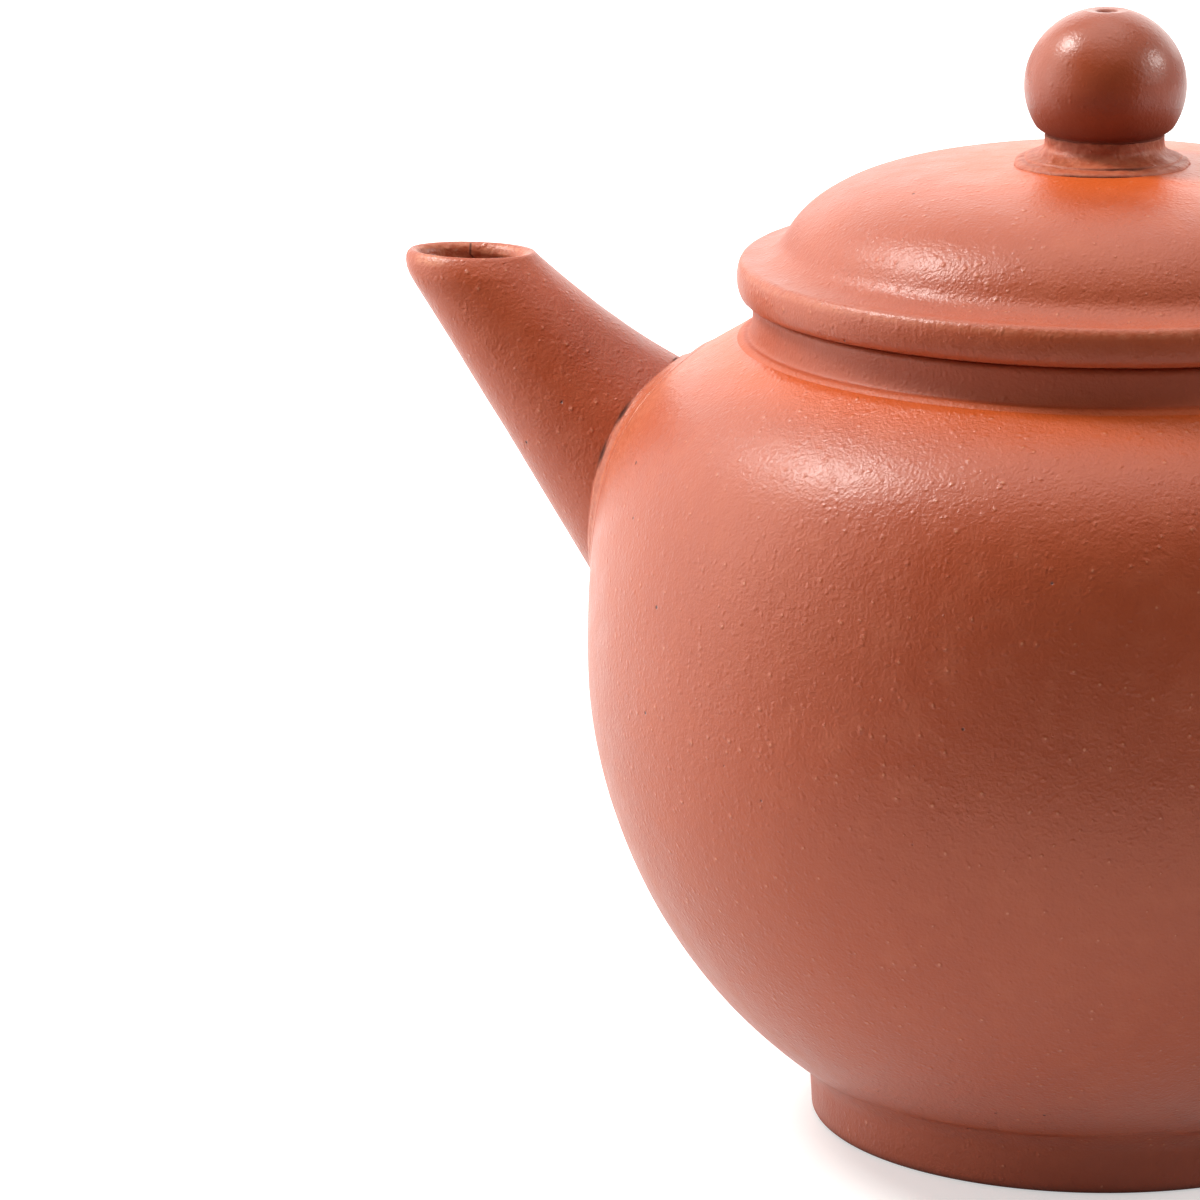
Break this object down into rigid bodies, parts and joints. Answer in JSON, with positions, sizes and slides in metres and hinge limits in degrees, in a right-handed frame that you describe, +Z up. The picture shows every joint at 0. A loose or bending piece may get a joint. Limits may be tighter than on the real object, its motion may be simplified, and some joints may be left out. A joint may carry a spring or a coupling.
{
  "type": "clay teapot",
  "caption": "Small unglazed red clay teapot with a ball body on a ring foot, straight level-cut spout, ear handle, spout strainer and a domed lift-off lid with a pierced ball knob.",
  "frame": {"origin": "middle of the pot's length and width at the plane of its foot; the turning axis stands 5.8 mm towards the spout", "axes": "+Z up along the turning axis, +X towards the handle, -X towards the spout"},
  "size_m": [0.1221, 0.077, 0.0851],
  "materials": {
    "clay": "unglazed satin red clay, finely granular",
    "inner_clay": "unglazed red clay, unburnished"
  },
  "bodies": {
    "pot": {"body": "clay", "base_disc": "inner_clay", "foot_ring": "clay", "neck_collar": "clay", "spout": "clay", "strainer": "inner_clay", "handle": "clay"},
    "lid": {"lid_cover": "clay", "lid_flange": "inner_clay", "knob_pad": "clay", "knob": "clay"}
  },
  "joints": [
    {"name": "lid_lift", "type": "slide", "parent": "pot", "child": "lid", "axis": [0, 0, 1], "range_m": [0, 0.05]}
  ]
}
